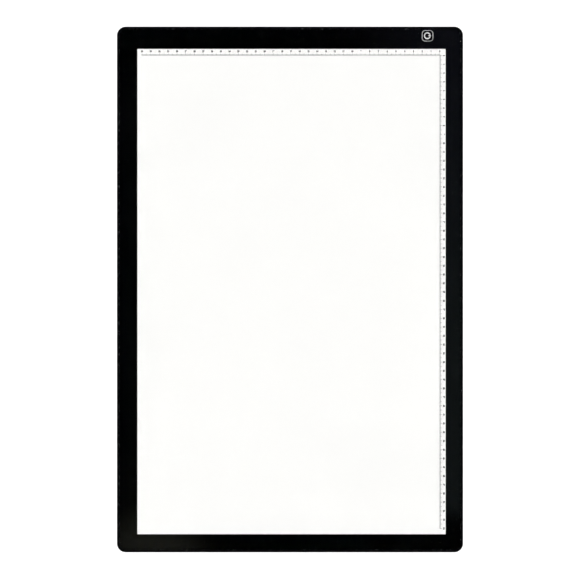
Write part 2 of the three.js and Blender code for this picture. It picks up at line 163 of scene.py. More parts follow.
def plates(low, high, paint=0):
    # Many plain thin boxes at once from their (n, 3) lowest and highest corners.
    pick = np.array([[0, 0, 0], [1, 0, 0], [1, 1, 0], [0, 1, 0], [0, 0, 1], [1, 0, 1], [1, 1, 1], [0, 1, 1]])
    points = low[:, None] + pick[None] * (high - low)[:, None]
    quads = np.array([[3, 2, 1, 0], [4, 5, 6, 7], [0, 1, 5, 4], [1, 2, 6, 5], [2, 3, 7, 6], [3, 0, 4, 7]])
    faces = quads[None] + (np.arange(len(low)) * 8)[:, None, None]
    return points.reshape(-1, 3), [faces.reshape(-1, 4)], paint


def turnUp(surface, middle):
    # Lays a surface swept along Z down along Y: (x, y, z) -> (x + mx, z, y + mz).
    points, faces, paint = surface
    return points[:, [0, 2, 1]] + [middle[0], 0, middle[2]], faces, paint


def tidyMesh(mesh, sharpAngle):
    # Welds the seams and poles, turns every face outwards and keeps creases above the angle sharp.
    work = bmesh.new()
    work.from_mesh(mesh)
    bmesh.ops.remove_doubles(work, verts=work.verts, dist=1e-7)
    bmesh.ops.recalc_face_normals(work, faces=work.faces)
    work.to_mesh(mesh)
    work.free()
    mesh.shade_smooth()
    mesh.set_sharp_from_angle(angle=np.radians(sharpAngle))


def rawObject(name, surfaces, sharpAngle=35):
    # one mesh object from several surfaces of (points in mm, blocks of faces, material number)
    faces, paint, start = [], [], 0
    for points, blocks, number in surfaces:
        for rows in blocks:
            faces += (rows + start).tolist()
            paint += [number] * len(rows)
        start += len(points)
    mesh = bpy.data.meshes.new(name)
    mesh.from_pydata(np.concatenate([points for points, _, _ in surfaces]) * mm, [], faces)
    mesh.polygons.foreach_set("material_index", paint)
    tidyMesh(mesh, sharpAngle)
    thing = bpy.data.objects.new(name, mesh)
    bpy.context.scene.collection.objects.link(thing)
    return thing


def carve(thing, steps, sharpAngle):
    # Joins ("UNION") or cuts ("DIFFERENCE") closed shapes one step after another.
    tools = [rawObject("tool", surfaces) for _, surfaces in steps]
    for (operation, _), tool in zip(steps, tools):
        change = thing.modifiers.new("carve", "BOOLEAN")
        change.operation, change.solver, change.object = operation, "EXACT", tool
    bpy.context.view_layer.update()
    mesh = bpy.data.meshes.new_from_object(thing.evaluated_get(bpy.context.evaluated_depsgraph_get()))
    mesh.materials.clear()
    thing.modifiers.clear()
    thing.data = mesh
    for tool in tools:
        bpy.data.objects.remove(tool)
    tidyMesh(mesh, sharpAngle)


def buildPiece(name, surfaces, materials, replaced=(), steps=(), sharpAngle=35):
    # a finished piece that rides on the body and stands for its CAD nodes
    piece = rawObject(name, surfaces, sharpAngle)
    if steps:
        carve(piece, steps, sharpAngle)
    for material in materials:
        piece.data.materials.append(material)
    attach(piece, "root")
    if replaced:
        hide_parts(*replaced)


def boxOf(node):
    # lowest and highest corner of a CAD node, in mm
    return [np.array(corner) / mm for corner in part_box(node)]


def middleOf(node):
    # middle of a CAD node's box, in mm
    low, high = boxOf(node)
    return (low + high) / 2


def newMaterial(name, values):
    # a Principled surface with its plain values set on the shader's own sockets
    material = bpy.data.materials.new(name)
    material.use_nodes = True
    tree = material.node_tree
    shader = tree.nodes["Principled BSDF"]
    for socket, value in values.items():
        shader.inputs[socket].default_value = value
    return material, tree, shader, addNode(tree, "TexCoord").outputs["Object"]


def grain(tree, place, size, low, high, stretch=(1, 1, 1), detail=2.0):
    # noise with features of about this size in mm, spread from low to high; stretch lengthens them
    scale = addNode(tree, "Mapping", {"Vector": place, "Scale": [1 / (size * mm * s) for s in stretch]})
    noise = addNode(tree, "TexNoise", {"Vector": scale.outputs[0], "Scale": 1.0, "Detail": detail})
    spread = (noise.outputs[0], 0.3, 0.7, low, high)  # the noise seldom leaves 0.3 to 0.7
    return addNode(tree, "MapRange", spread).outputs[0]


def mottled(tree, place, size, codes, stretch=(1, 1, 1), over=None):
    # two close shades in hex, mixed by noise with features of about this size in mm;
    # over is a share and the colour that it lays over them
    inputs = {0: grain(tree, place, size, 0, 1, stretch), 6: linear(codes[0]), 7: linear(codes[1])}
    shade = addNode(tree, "Mix", inputs, data_type="RGBA").outputs[2]
    if over:
        shade = addNode(tree, "Mix", {0: over[0], 6: shade, 7: over[1]}, data_type="RGBA").outputs[2]
    return shade


def inside(tree, value, low, high, soft):
    # 1 where the value lies between low and high, 0 outside, with a soft edge that wide; all in mm
    middle = addNode(tree, "Math", (value, -(low + high) / 2 * mm), operation="ADD").outputs[0]
    off = addNode(tree, "Math", {0: middle}, operation="ABSOLUTE").outputs[0]
    spread = (off, (high - low - soft) / 2 * mm, (high - low + soft) / 2 * mm, 1.0, 0.0)
    return addNode(tree, "MapRange", spread).outputs[0]


def waveScale(pitch):
    # scale of a wave texture whose bands repeat every pitch mm: 2 pi / (20 * pitch)
    return np.pi / (10 * pitch * mm)


def wire(tree, shader, links):
    # links outputs to the shader's sockets by name
    for socket, output in links.items():
        tree.links.new(output, shader.inputs[socket])


def grainy(name, values, codes, codeSize, roughness, roughSize, bump=None, stretch=(1, 1, 1)):
    # Surface with two close shades mixed by noise, a roughness range and an optional
    # bump of (feature size, depth) in mm. The feature stretches follow the making direction.
    material, tree, shader, place = newMaterial(name, values)
    links = {"Base Color": mottled(tree, place, codeSize, codes, stretch),
             "Roughness": grain(tree, place, roughSize, *roughness, stretch)}
    if bump:
        relief = grain(tree, place, bump[0], 0, 1, stretch)
        links["Normal"] = addNode(tree, "Bump", {"Height": relief, "Distance": bump[1] * mm}).outputs[0]
    wire(tree, shader, links)
    return material


# camera straight above, light and floor
studio = {
    "cameraHeight": 3.0,  # metres above the desk
    "fieldWidth": 0.6619,  # width in metres of what the camera sees at the cover's height
    "cameraShift": -0.0006,  # metres the camera stands below the middle, along Y
    "softboxPower": 43.0,
    "softboxSize": 1.2,
    "softboxOut": 1.29,  # metres from the middle, along X and along Y
    "softboxHeight": 2.6,
    "tableGlow": 0.95,
    "floorReach": 30.0,  # metres, so that the floor's edge never shows
    "floorDrop": 0.00002,  # metres below the feet
}
# What the room shows. A fade runs between two parts of the unit direction along one axis.
roomLook = {
    "horizon": (0.45, 0.45, 0.45, 1.0),
    "horizonFade": (0.12, 0.66),  # along Z, from the horizon's shade to the ceiling's
    "left": (0.0, 0.0002, 0.0004, 1.0),  # what the cover mirrors on its -X side
    "right": (0.043, 0.055, 0.058, 1.0),  # the same on its +X side
    "rightFar": (0.027, 0.030, 0.044, 1.0),  # the same towards +Y
    "rightFade": (0.022, 0.06),  # along X
    "farFade": (-0.02, 0.08),  # along Y
    "nearFade": (-0.088, -0.082),  # along Y; the right side is dark below it
    "patch": (0.072, 0.074, 0.060, 1.0),  # a paler part of the ceiling towards -X -Y
    "patchTowards": (-0.052, -0.103, 0.993),
    "patchFade": (0.0096, 0.024),  # distances from patchTowards
}

scene = bpy.context.scene
scene.view_settings.view_transform = "Standard"
cameraData = bpy.data.cameras.new("camera")
camera = bpy.data.objects.new("camera", cameraData)
scene.collection.objects.link(camera)
camera.location = (0, studio["cameraShift"], studio["cameraHeight"])
cameraData.sensor_width = 36
coverTop = boxOf("cover_panel")[1][2] * mm
cameraData.lens = cameraData.sensor_width * (studio["cameraHeight"] - coverTop) / studio["fieldWidth"]
scene.camera = camera

for number, (x, y) in enumerate([(-1, -1), (1, -1), (1, 1), (-1, 1)]):
    lampData = bpy.data.lights.new(f"softbox{number}", "AREA")
    lampData.size = studio["softboxSize"]
    lampData.energy = studio["softboxPower"]
    lamp = bpy.data.objects.new(f"softbox{number}", lampData)
    scene.collection.objects.link(lamp)
    lamp.location = (studio["softboxOut"] * x, studio["softboxOut"] * y, studio["softboxHeight"])
    lamp.rotation_euler = (-lamp.location).to_track_quat("-Z", "Y").to_euler()
    lamp.visible_glossy = False  # the gloss shows the even room, not four bright squares

# The room is bright round the horizon and dark overhead, where the glossy cover looks back.
world = bpy.data.worlds.new("room")
scene.world = world
world.use_nodes = True
room = world.node_tree
direction = addNode(room, "TexCoord").outputs["Generated"]
towards = addNode(room, "SeparateXYZ", {0: direction}).outputs
apart = addNode(room, "VectorMath", (direction, roomLook["patchTowards"]), operation="DISTANCE")
shares = []
for name, value, *ends in (("rightFade", towards[0]), ("nearFade", towards[1]),
                           ("farFade", towards[1]), ("horizonFade", towards[2], 1.0, 0.0),
                           ("patchFade", apart.outputs["Value"], 1.0, 0.0)):
    way = "SMOOTHSTEP" if name == "horizonFade" else "LINEAR"
    fade = addNode(room, "MapRange", (value, *roomLook[name], *ends), interpolation_type=way)
    shares.append(fade.outputs[0])
rightShare, nearShare, farShare, horizonShare, patchShare = shares
rightShare = addNode(room, "Math", (rightShare, nearShare), operation="MULTIPLY").outputs[0]
rightShades = {0: farShare, 6: roomLook["right"], 7: roomLook["rightFar"]}
rightSide = addNode(room, "Mix", rightShades, data_type="RGBA").outputs[2]
shown = roomLook["left"]
for part, colour in ((rightShare, rightSide), (patchShare, roomLook["patch"]),
                     (horizonShare, roomLook["horizon"])):
    shown = addNode(room, "Mix", {0: part, 6: shown, 7: colour}, data_type="RGBA").outputs[2]
room.links.new(shown, room.nodes["Background"].inputs["Color"])

# An opal acrylic table lit from below: an even white that swallows the soft shadows on it.
opalTable = grainy("litOpalTable", {
    "IOR": 1.49, "Emission Color": (1, 1, 1, 1), "Emission Strength": studio["tableGlow"],
}, ("9a9a9a", "a2a2a2"), 300, (0.85, 0.95), 60)
floorCorners = np.array([[-1, -1, 0], [1, -1, 0], [1, 1, 0], [-1, 1, 0]]) * studio["floorReach"]
floorMesh = bpy.data.meshes.new("floor")
floorMesh.from_pydata(floorCorners - [0, 0, studio["floorDrop"]], [], [[0, 1, 2, 3]])
floorMesh.materials.append(opalTable)
floor = bpy.data.objects.new("floor", floorMesh)
scene.collection.objects.link(floor)
print("studio ready")

# Injection-moulded ABS with a fine spark-eroded mould texture: a soft, slightly broken sheen.
# The real texture is about 0.05 mm; it is drawn at 0.3 mm so that it can be seen at all.
mouldedAbs = grainy("mouldedAbs", {"IOR": 1.53}, ("030304", "060607"), 25, (0.22, 0.29), 4, (0.3, 0.02))

# Cast acrylic, polished: clear, with a mirror gloss that fine cleaning hairlines break up.
# Real hairlines are about 0.02 mm wide; they are drawn at 0.35 mm.
hairlineLook = {"size": 0.35, "stretches": ((60, 1, 1), (1, 70, 1)), "detail": 4.0,
                "spread": (-1.2, 1.0), "shown": (0.6, 1.0), "roughness": (0.008, 0.05)}
castAcrylic, tree, shader, place = newMaterial("castAcrylic", {"Transmission Weight": 1.0, "IOR": 1.491})
hairline, crossing = [grain(tree, place, hairlineLook["size"], *hairlineLook["spread"], stretch,
                            hairlineLook["detail"]) for stretch in hairlineLook["stretches"]]
either = addNode(tree, "Math", (hairline, crossing), operation="MAXIMUM").outputs[0]
spread = (either, *hairlineLook["shown"], *hairlineLook["roughness"])
wire(tree, shader, {
    "Base Color": mottled(tree, place, 80, ("fefefe", "fcfcfc")),
    "Roughness": addNode(tree, "MapRange", spread).outputs[0],
})

# Black ink screen printed on film: even deep black, with a few specks of dust caught under the cover.
dustLook = {"cell": 16, "speck": (0.012, 0.028), "rarer": 0.80, "code": "8a8a86"}  # speck in parts of a cell
printedFilm, tree, shader, place = newMaterial("screenPrintedFilm", {"IOR": 1.5})
cells = addNode(tree, "TexVoronoi", {"Vector": place, "Scale": 1 / (dustLook["cell"] * mm)})
spread = (cells.outputs["Distance"], *dustLook["speck"], 1.0, 0.0)
speck = addNode(tree, "MapRange", spread).outputs[0]
fewCells = addNode(tree, "Math", (cells.outputs["Color"], dustLook["rarer"]), operation="GREATER_THAN")
dust = addNode(tree, "Math", (speck, fewCells.outputs[0]), operation="MULTIPLY").outputs[0]
wire(tree, shader, {
    "Base Color": mottled(tree, place, 40, ("010101", "030303"), over=(dust, linear(dustLook["code"]))),
    "Roughness": grain(tree, place, 2, 0.05, 0.08),
})

# Screen-printed ruler ink: dull black with a slightly uneven density.
rulerInk = grainy("screenPrintedBlackInk", {"IOR": 1.5}, ("161618", "222224"), 0.4, (0.45, 0.6), 0.4)
# The same process in grey and in white, for the touch key.
greyInk = grainy("screenPrintedGreyInk", {"IOR": 1.5}, ("aeaeae", "b8b8b8"), 0.5, (0.45, 0.6), 0.5)
whiteInk = grainy("screenPrintedWhiteInk", {"IOR": 1.5}, ("dededc", "e6e6e4"), 0.5, (0.4, 0.55), 0.5)

# Opal film with light coming evenly through it: a milky white that glows by itself.
opalFilm = grainy("opalDiffuserFilm", {
    "IOR": 1.49, "Emission Color": (1.0, 0.997, 0.983, 1.0), "Emission Strength": 0.85,
}, ("80807e", "848482"), 120, (0.5, 0.65), 0.4)

# Clear acrylic guide with laser-cut dots below: water-clear with a grid of tiny frosted spots.
dotLook = {"pitch": 0.9, "edge": (0.16, 0.22)}  # dots of about 0.3 mm; edge in parts of the pitch
dottedGuide, tree, shader, place = newMaterial("laserDottedAcrylic", {
    "Transmission Weight": 1.0, "IOR": 1.491,
})
dots = addNode(tree, "TexVoronoi", {"Vector": place, "Scale": 1 / (dotLook["pitch"] * mm), "Randomness": 0.0})
spread = (dots.outputs["Distance"], *dotLook["edge"], 1.0, 0.0)
dotShare = addNode(tree, "MapRange", spread).outputs[0]
shades = {0: dotShare, 6: linear("f4fafa"), 7: linear("ffffff")}
wire(tree, shader, {
    "Base Color": addNode(tree, "Mix", shades, data_type="RGBA").outputs[2],
    "Roughness": addNode(tree, "MapRange", {"Value": dotShare, "To Min": 0.02, "To Max": 0.6}).outputs[0],
})

# Voided white polyester film: bright, evenly scattering, with a faint pearly sheen.
reflectorFilm = grainy("voidedWhitePolyester", {"IOR": 1.57}, ("f1f1ef", "f8f8f7"), 15, (0.32, 0.42), 3)
# Closed-cell foam tape: dull charcoal with cells of about 0.2 mm, drawn at 0.4 mm.
foamTape = grainy("closedCellFoam", {"IOR": 1.5}, ("1e1e20", "2e2e31"), 0.5, (0.85, 0.95), 1, (0.4, 0.06))
# Extruded mill-finish aluminium: pale metal with die lines along its length.
millAluminium = grainy("extrudedAluminium", {"Metallic": 1.0}, ("b4b7ba", "c6c8ca"), 0.5, (0.28, 0.44), 0.3,
                       (0.3, 0.004), (1, 80, 1))
# Nickel-plated drawn steel: warm bright metal with faint draw marks.
nickelSteel = grainy("nickelPlatedSteel", {"Metallic": 1.0}, ("bdb9b1", "cbc8c2"), 1.5, (0.18, 0.30), 0.8,
                     (0.5, 0.003), (1, 6, 1))
# Gold-flashed copper alloy: the rich yellow of a plated contact.
goldFlash = grainy("goldFlashedContact", {"Metallic": 1.0}, ("d8a851", "e6bd6a"), 0.4, (0.20, 0.32), 0.3)
# Hard-drawn spring wire, tin-plated: bright with fine lines round it.
springWire = grainy("tinPlatedSpringWire", {"Metallic": 1.0}, ("b5b2a8", "c9c6bd"), 0.4, (0.22, 0.36), 0.2)
# Carbon steel with a black oxide finish: dark metal with an oily half gloss.
blackOxide = grainy("blackOxideSteel", {"Metallic": 1.0}, ("1c1c1f", "2a2a2d"), 0.8, (0.30, 0.45), 0.4)
# Moulded silicone: soft matt black that holds a little lint.
silicone = grainy("mouldedSilicone", {"IOR": 1.41}, ("161617", "232324"), 1.2, (0.70, 0.85), 0.6, (0.4, 0.02))
# Extruded PVC insulation: satin colour with slight die lines.
redPvc = grainy("extrudedRedPvc", {"IOR": 1.53}, ("8f1613", "a31d19"), 2, (0.35, 0.5), 1)
blackPvc = grainy("extrudedBlackPvc", {"IOR": 1.53}, ("101011", "19191a"), 2, (0.35, 0.5), 1)
# Tinned copper strand: dull silver with a lay of fine wires.
tinnedCopper = grainy("tinnedCopperStrand", {"Metallic": 1.0}, ("a9a9a6", "c2c2be"), 0.12, (0.3, 0.45), 0.1,
                      (0.12, 0.02))
# Epoxy moulded round a contact frame: dull near-black with flow grain.
mouldedEpoxy = grainy("mouldedEpoxy", {"IOR": 1.55}, ("141416", "1f1f22"), 0.5, (0.45, 0.65), 0.4,
                      (0.2, 0.01))
print("plain materials ready")

body = {"width": 395, "length": 600, "corner": 10}  # the outline that the frame, plate and cover follow
outline = roundedOutline(body["width"], body["length"], body["corner"], 12)

# The frame: a moulded wall with a shelf half way up, screw bosses below and the power opening.
frameLook = {
    "wall": 2.6, "shelf": 8.4, "outerRound": 0.4, "innerRound": 0.25, "lipRound": 0.12,
    "seamHeight": 5.2, "seamDepth": 0.10, "seamRound": 0.03,
    "shelfHeights": (5.4, 6.6),
    "bossRadius": 2.35, "bossDraft": 0.08, "bossLow": 3.1, "bossRound": 0.2, "bossSunk": 0.5,
    "pilotRadius": 1.1, "pilotTop": 6.0,
    "bay": ((115, 290.6), (175, 296.7)),  # leaves a narrow ledge under the cover's edge
    "mouthWidth": 9.54, "mouthHeight": 3.8,
    # distance past the outer face and flare: straight through the wall, wider at its outer face
    "mouthFlare": ((-4.6, 0), (-0.9, 0), (-0.5, 0.105), (-0.1, 0.35), (0.6, 0.455)),
}
low, high = [corner[2] for corner in boxOf("frame")]
shelfLow, shelfHigh = frameLook["shelfHeights"]
wall, shelf, lip = (frameLook[key] for key in ("wall", "shelf", "lipRound"))
seam, seamMiddle, seamRound = (frameLook[key] for key in ("seamDepth", "seamHeight", "seamRound"))
frameProfile = roundCorners([
    (0, low, frameLook["outerRound"]), (wall, low, lip),
    (wall, shelfLow, frameLook["innerRound"]), (shelf, shelfLow, lip),
    (shelf, shelfHigh, lip), (wall, shelfHigh, frameLook["innerRound"]),
    (wall, high, lip), (0, high, frameLook["outerRound"]),
    (0, seamMiddle + 1.5 * seam, seamRound), (seam, seamMiddle, seamRound),
    (0, seamMiddle - 1.5 * seam, seamRound),
], steps=5)
backScrews = [f"back_screw_{number}" for number in range(1, 13)]
screwPlaces = [middleOf(node) for node in backScrews]
bossLow, bossRadius, draft = (frameLook[key] for key in ("bossLow", "bossRadius", "bossDraft"))
bossTop = shelfLow + frameLook["bossSunk"]
bossProfile = roundCorners([
    (0, bossLow, 0), (bossRadius - draft, bossLow, frameLook["bossRound"]),
    (bossRadius, bossTop, 0.05), (0, bossTop, 0),
], closed=False)
bossPilot, pilotTop = frameLook["pilotRadius"], frameLook["pilotTop"]
bossPilotProfile = np.array([(0, bossLow - overcut), (bossPilot, bossLow - overcut),
                             (bossPilot, pilotTop), (0, pilotTop)])
socketPlace = middleOf("usb_socket")
bayLow, bayHigh = frameLook["bay"]
mouthHeight = frameLook["mouthHeight"]
mouthOutline = roundedOutline(frameLook["mouthWidth"], mouthHeight, mouthHeight / 2 - sliver)
mouthProfile = np.array([(-flare, body["length"] / 2 + past) for past, flare in frameLook["mouthFlare"]])
mouth = turnUp(sweep(mouthOutline, mouthProfile, closed=False), socketPlace)
buildPiece("frameShell", [sweep(outline, frameProfile)], [mouldedAbs], ["frame"], [
    ("UNION", [lathe(bossProfile, spot, around=28) for spot in screwPlaces]),
    ("DIFFERENCE", [lathe(bossPilotProfile, spot, around=20) for spot in screwPlaces]),
    ("DIFFERENCE", [block((*bayLow, low), (*bayHigh, high), 0.5, 0.05)]),
    ("DIFFERENCE", [mouth]),
])
print("frame built")

# The clear cover: a sheet with polished, slightly rounded edges.
coverLook = {"inset": 2.8, "edgeRound": 0.1}
low, high = [corner[2] for corner in boxOf("cover_panel")]
coverProfile = sheetProfile(coverLook["inset"], low, high, coverLook["edgeRound"], 4)
buildPiece("coverPane", [sweep(outline, coverProfile, closed=False)], [castAcrylic],
           ["cover_panel"])

# The back: a moulded plate with ribs, standoffs, countersunk holes and recesses for the feet.
backLook = {
    "inset": 2.9, "top": 3.0, "edgeRound": 0.25,
    "footRecess": 7.3, "footRecessDepth": 0.5,
    "holeRadius": 1.25, "mouthRadius": 2.1, "holeDepth": 1.05,
    "standoffRadius": 2.0, "standoffTop": 3.3, "standoffSunk": 0.5, "standoffPilot": 0.9, "pilotLow": 1.8,
    "sideRib": {"near": 187.9, "far": 188.7, "half": 270, "top": 4.6},  # near and far along X
    "endRib": {"half": 8.0, "thick": 0.8, "top": 5.8, "gap": 0.2},  # gap to the buffer that it holds
    "ribRounds": (0.2, 0.1),
}
low, top = boxOf("back_plate")[0][2], backLook["top"]
plateProfile = sheetProfile(backLook["inset"], low, top, backLook["edgeRound"], 3)
hole, mouthRadius = backLook["holeRadius"], backLook["mouthRadius"]
holeProfile = np.array([(0, low - overcut), (mouthRadius, low - overcut), (mouthRadius, low),
                        (hole, low + backLook["holeDepth"]), (hole, top + overcut), (0, top + overcut)])
recess, recessTop = backLook["footRecess"], low + backLook["footRecessDepth"]
recessProfile = roundCorners([
    (0, low - overcut, 0), (recess, low - overcut, 0.05), (recess, recessTop, 0.15), (0, recessTop, 0),
], 3, closed=False)
standoff, standoffTop = backLook["standoffRadius"], backLook["standoffTop"]
standoffLow = top - backLook["standoffSunk"]
standoffProfile = roundCorners([
    (0, standoffLow, 0), (standoff, standoffLow, 0.05), (standoff, standoffTop, 0.1), (0, standoffTop, 0),
], 2, closed=False)
pilotLow, pilot = backLook["pilotLow"], backLook["standoffPilot"]
pilotProfile = np.array([(0, pilotLow), (pilot, pilotLow), (pilot, standoffTop + overcut),
                         (0, standoffTop + overcut)])
feet = [f"foot_{number}" for number in range(1, 7)]
boardScrews = ["board_screw_1", "board_screw_2"]
sideRib, endRib, ribRounds = (backLook[key] for key in ("sideRib", "endRib", "ribRounds"))
ribs = [block((side * sideRib["near"], -sideRib["half"], top - sunk),
              (side * sideRib["far"], sideRib["half"], sideRib["top"]), *ribRounds) for side in (-1, 1)]
for number in range(1, 5):
    bufferLow, bufferHigh = boxOf(f"guide_buffer_{number}")
    middle = (bufferLow + bufferHigh) / 2
    near = bufferHigh[1] + endRib["gap"] if middle[1] > 0 else bufferLow[1] - endRib["gap"]
    far = near + np.sign(middle[1]) * endRib["thick"]
    ribs.append(block((middle[0] - endRib["half"], near, top - sunk),
                      (middle[0] + endRib["half"], far, endRib["top"]), *ribRounds))
plate = sweep(outline, plateProfile, closed=False)
buildPiece("backPanel", [plate], [mouldedAbs], ["back_plate"], [
    ("UNION", ribs + [lathe(standoffProfile, middleOf(node), around=28) for node in boardScrews]),
    ("DIFFERENCE", [lathe(holeProfile, spot, around=32) for spot in screwPlaces]
     + [lathe(recessProfile, middleOf(node), around=64) for node in feet]
     + [lathe(pilotProfile, middleOf(node), around=20) for node in boardScrews]),
])
print("cover and back built")

# Rulers printed on the underside of the cover, over the window's top and right edges.
rulerLook = {
    "topZero": 171.0, "rightZero": 267.1, "topBase": 267.1, "rightBase": 170.9,
    "topLength": 340, "rightLength": 540,
    "ticks": (2.1, 2.0, 1.45),  # lengths of the centimetre, half centimetre and millimetre marks
    "tickWidths": (0.5, 0.5, 0.38), "baseWidth": 0.12, "baseGap": 0.001,
    "digitHeight": 2.0,  # nominal: digitBold swells the outlines and takes the digits to about 2.4
    "digitSlim": 0.82, "digitAdvance": 1.2, "digitBold": 0.08,
    "topDigits": 271.9, "rightDigits": 175.7,
    "low": 7.15, "high": 7.19,
}
printLow, printHigh = rulerLook["low"], rulerLook["high"]


def marks(count):
    # number, length and half width of the marks 0 to count: first kind each 10, second each 5
    step = np.arange(count + 1)
    kind = np.where(step % 10 == 0, 0, np.where(step % 5 == 0, 1, 2))
    return step, np.array(rulerLook["ticks"])[kind], np.array(rulerLook["tickWidths"])[kind] / 2


def ink(lowXY, highXY):
    # flat printed rectangles between two sets of corners
    lowXY, highXY = np.atleast_2d(lowXY), np.atleast_2d(highXY)
    return plates(np.insert(lowXY, 2, printLow, 1), np.insert(highXY, 2, printHigh, 1))


def digitShapes(height):
    # each digit as a closed slab, centred on its own box, from the built-in typeface
    scale = height / 0.73  # type size for this nominal height
    shapes = []
    for digit in "0123456789":
        text = bpy.data.curves.new("digit", "FONT")
        text.body, text.size, text.resolution_u = digit, 1.0, 3
        text.offset, text.extrude = rulerLook["digitBold"], 0.5
        holder = bpy.data.objects.new("digit", text)
        scene.collection.objects.link(holder)
        mesh = bpy.data.meshes.new_from_object(holder.evaluated_get(bpy.context.evaluated_depsgraph_get()))
        points = np.empty(len(mesh.vertices) * 3)
        mesh.vertices.foreach_get("co", points)
        points = points.reshape(-1, 3)
        lowest, highest = points.min(0), points.max(0)
        points = (points - (lowest + highest) / 2) * [rulerLook["digitSlim"] * scale, scale, 1]
        points[:, 2] = np.where(points[:, 2] > 0, printHigh, printLow)
        shapes.append((points, [np.array([list(face.vertices)]) for face in mesh.polygons]))
        bpy.data.objects.remove(holder)
    return shapes


def numbers(count, spots, turned):
    # numbers 0 to count at the spots; turned ones read towards -Y with their tops towards +X
    made = []
    for digit, (points, faces) in enumerate(digitShapes(rulerLook["digitHeight"])):
        places = [(value, (at - (len(str(value)) - 1) / 2) * rulerLook["digitAdvance"])
                  for value in range(count + 1)
                  for at, letter in enumerate(str(value)) if letter == str(digit)]
        for value, shift in places:
            local = points + [shift, 0, 0]
            flat = local[:, [1, 0, 2]] * [1, -1, 1] if turned else local
            made.append((flat + [*spots[value], 0], faces, 0))
    return made


def rulerSide(name, order):
    # marks with their base line, and numbers; order 1 runs along X, and -1 swaps x and y
    step, length, half = marks(rulerLook[name + "Length"])
    base, zero = rulerLook[name + "Base"], rulerLook[name + "Zero"]
    along = zero - step
    ticks = ink(np.stack([along - half, base + 0 * along], 1)[:, ::order],
                np.stack([along + half, base + length], 1)[:, ::order])
    line = ink([along[-1] - half[-1], base - rulerLook["baseWidth"]][::order],
               [along[0] + half[0], base - rulerLook["baseGap"]][::order])
    count = rulerLook[name + "Length"] // 10
    spots = [(zero - 10 * value, rulerLook[name + "Digits"])[::order] for value in range(count + 1)]
    return [ticks, line], numbers(count, spots, order < 0)


topMarks, topNumbers = rulerSide("top", 1)
rightMarks, rightNumbers = rulerSide("right", -1)
buildPiece("rulerPrint", topMarks + rightMarks + topNumbers + rightNumbers, [rulerInk])
print("rulers printed")

# The touch key's mark: a grey rounded square round a white ring with a bar from its middle to the right.
keyLook = {
    "middle": (157.05, 289.65), "size": 13.0, "corner": 4.0, "stroke": 0.75,
    "ringShift": -0.25, "ringRadius": 3.28, "ringStroke": 1.25, "ringSteps": 72,
    "gap": 19,  # degrees left open above and below the bar
    "barStart": 1.2, "barEnd": 4.2, "barWidth": 1.0,
}
keyX, keyY = keyLook["middle"]
stroke = keyLook["stroke"]
squareProfile = np.array([(0, printLow), (stroke, printLow), (stroke, printHigh), (0, printHigh)])
square = sweep(roundedOutline(keyLook["size"], keyLook["size"], keyLook["corner"]), squareProfile)
square = (square[0] + [keyX, keyY, 0], square[1], 0)
ringX = keyX + keyLook["ringShift"]
angle = np.radians(np.linspace(keyLook["gap"], 360 - keyLook["gap"], keyLook["ringSteps"]))[:, None]
ringRadius = keyLook["ringRadius"] + np.array([-0.5, 0.5, 0.5, -0.5]) * keyLook["ringStroke"]
ringHeight = np.broadcast_to([printLow, printLow, printHigh, printHigh], (keyLook["ringSteps"], 4))
ring = np.dstack([ringX + ringRadius * np.cos(angle), keyY + ringRadius * np.sin(angle), ringHeight])
ring = gridSurface(ring.transpose(1, 0, 2), (True, False), 1)
barHalf = keyLook["barWidth"] / 2
bar = block((ringX + keyLook["barStart"], keyY - barHalf, printLow),
            (ringX + keyLook["barEnd"], keyY + barHalf, printHigh), barHalf * 0.9, 0.01, paint=1, steps=4)
buildPiece("keyPrint", [square, ring, bar], [greyInk, whiteInk])
print("touch key printed")

# Screws: a flat countersunk head for the back and a pan head for the board.
# The head's face is a field over (r, a), sunk where the point lies in the crossed slots.
screwLook = {
    "back": {"head": 1.9, "edge": 0.08, "neck": 0.95, "headDepth": 0.9, "core": 0.74, "length": 4.4,
             "point": 1.0, "reach": 1.05, "slot": 0.56, "recess": 0.55, "dome": 0.0, "pitch": 0.8},
    "board": {"head": 1.7, "edge": 0.25, "neck": 0.7, "headDepth": 1.0, "core": 0.52, "length": 3.4,
              "point": 0.6, "reach": 0.9, "slot": 0.4, "recess": 0.45, "dome": 0.12, "pitch": 0.6},
}
endSlope, sideSlope = 0.2, 0.12  # how far the ends and sides of the slots slope


